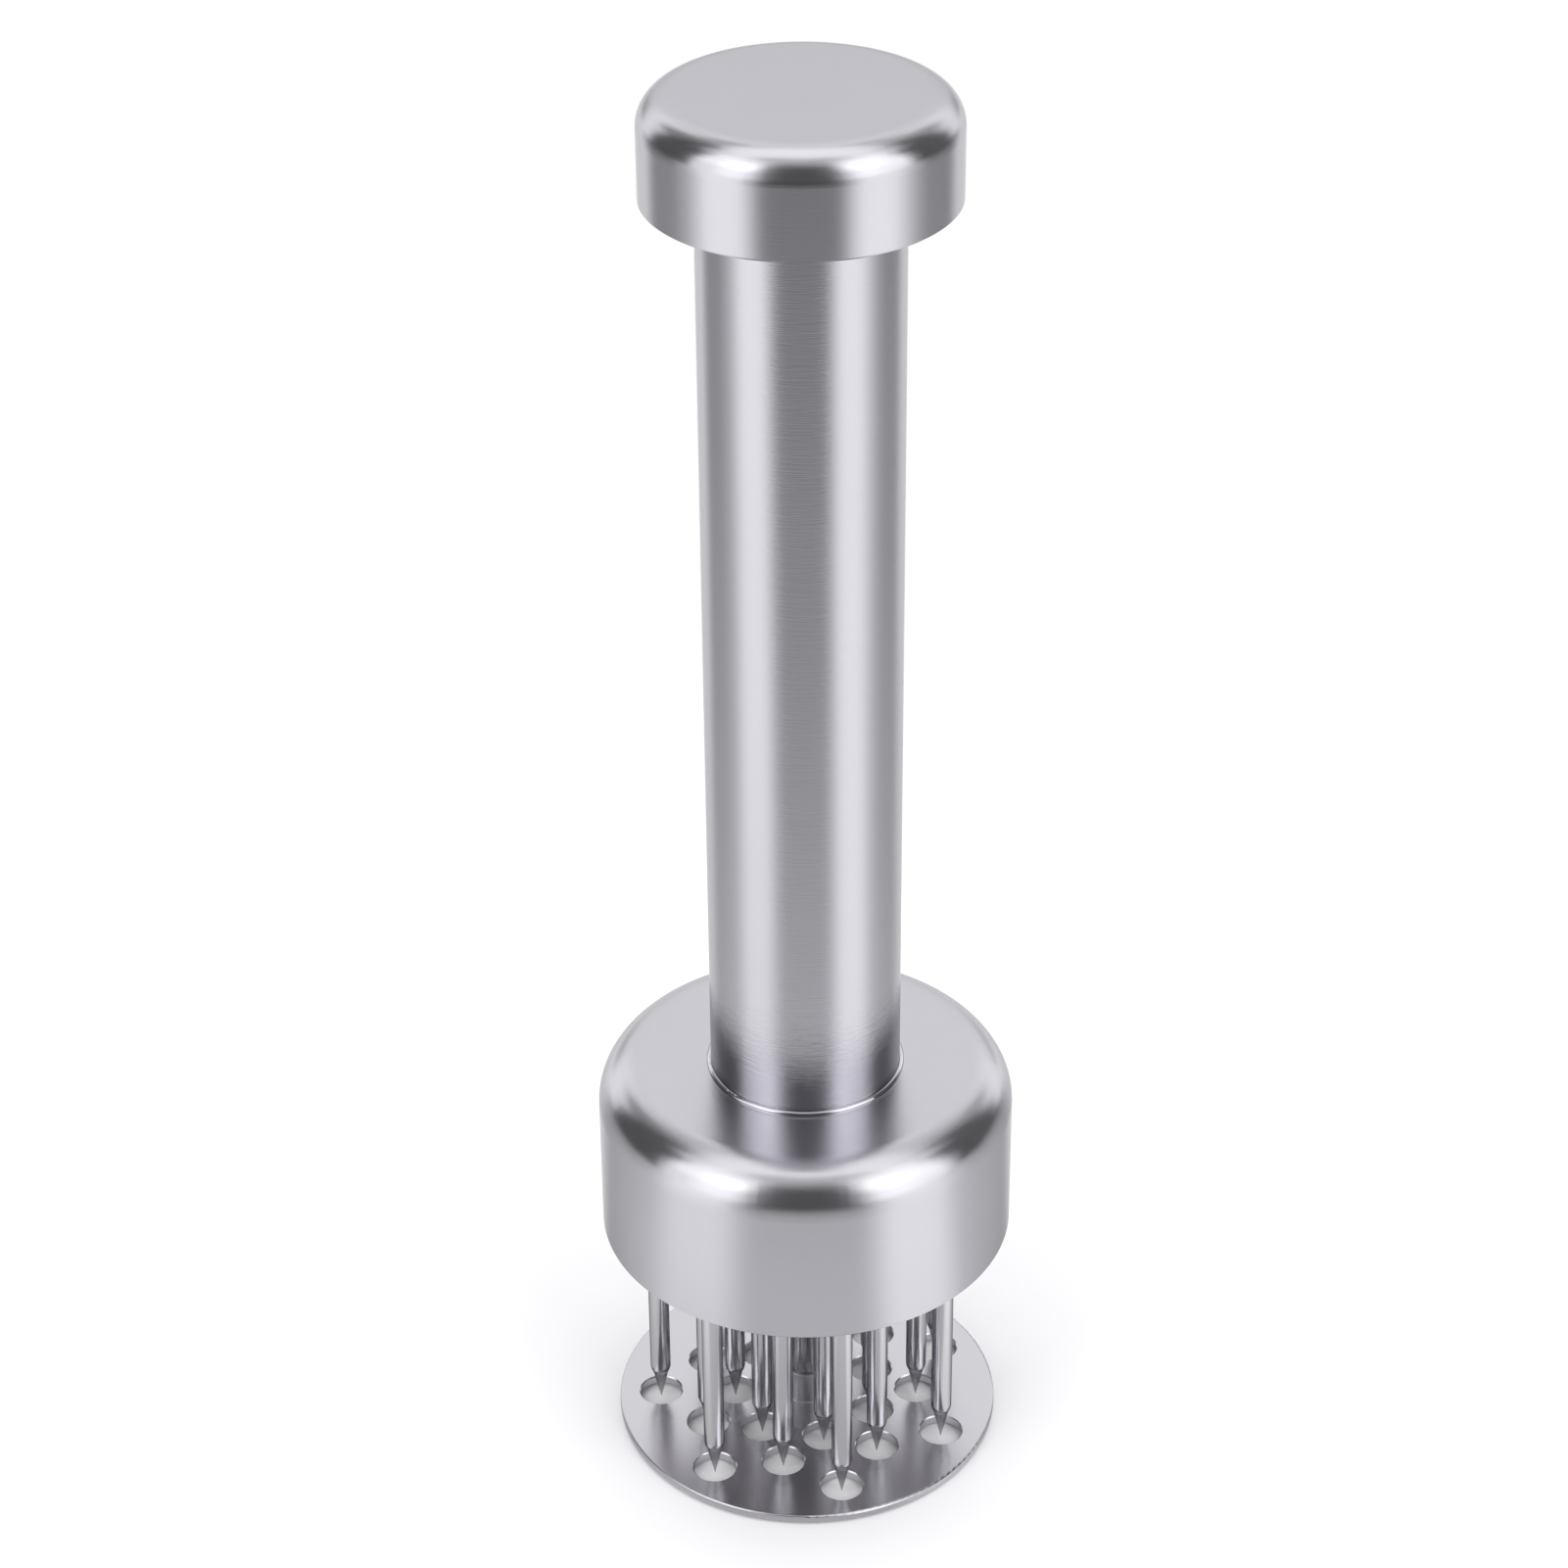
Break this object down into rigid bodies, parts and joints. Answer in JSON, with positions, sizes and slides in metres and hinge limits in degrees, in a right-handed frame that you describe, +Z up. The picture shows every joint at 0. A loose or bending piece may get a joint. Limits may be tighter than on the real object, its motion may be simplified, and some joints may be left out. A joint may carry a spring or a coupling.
{
  "type": "needle meat tenderizer",
  "caption": "Handheld press tenderizer: round needles under a domed cup head on a straight tube handle, with a sprung perforated guard plate on a centre rod.",
  "frame": {"origin": "centre of the guard plate's underside, the face that the tool stands on", "axes": "+Z up along the handle's axis, from the guard plate to the cap; one needle of the inner ring and one of the outer ring stand on -X"},
  "size_m": [0.055, 0.055, 0.1935],
  "materials": {
    "brushed_shell": "satin drawn cups, fine circular brushing",
    "brushed_tube": "satin tube, fine brushing round the tube",
    "polished_needle": "smooth drawn round shanks with turned points",
    "satin_plate": "satin disc with a bright rolled edge",
    "turned_steel": "turned, fine tool marks",
    "ground_rod": "hard ground rod, darker than the turned parts",
    "bright_bead": "polished bead",
    "spring_steel": "drawn spring wire",
    "bush_brass": "turned"
  },
  "bodies": {
    "handle": {"backing_plate": "turned_steel", "cap_base": "turned_steel", "cap_shell": "brushed_shell", "clamp_bush": "bush_brass", "foot_ring": "bright_bead", "handle_tube": "brushed_tube", "head_hub": "turned_steel", "head_shell": "brushed_shell", "needle_inner_1": "polished_needle", "needle_inner_2": "polished_needle", "needle_inner_3": "polished_needle", "needle_inner_4": "polished_needle", "needle_inner_5": "polished_needle", "needle_inner_6": "polished_needle", "needle_inner_7": "polished_needle", "needle_middle_1": "polished_needle", "needle_middle_2": "polished_needle", "needle_middle_3": "polished_needle", "needle_middle_4": "polished_needle", "needle_middle_5": "polished_needle", "needle_middle_6": "polished_needle", "needle_middle_7": "polished_needle", "needle_outer_1": "polished_needle", "needle_outer_2": "polished_needle", "needle_outer_3": "polished_needle", "needle_outer_4": "polished_needle", "needle_outer_5": "polished_needle", "needle_outer_6": "polished_needle", "needle_outer_7": "polished_needle", "needle_plate": "turned_steel", "return_spring": "spring_steel", "rod_bush": "bush_brass", "tube_plug": "turned_steel"},
    "guard": {"guard_plate": "satin_plate", "plate_boss": "turned_steel", "guide_rod": "ground_rod", "rod_head": "turned_steel", "rod_nut": "turned_steel", "guard_screw": "turned_steel"}
  },
  "joints": [
    {"name": "guard_press", "type": "slide", "parent": "handle", "child": "guard", "axis": [0, 0, 1], "range_m": [0, 0.03], "stiffness_N_per_m": 620, "springref_m": -0.015, "deforming": ["return_spring"]}
  ]
}
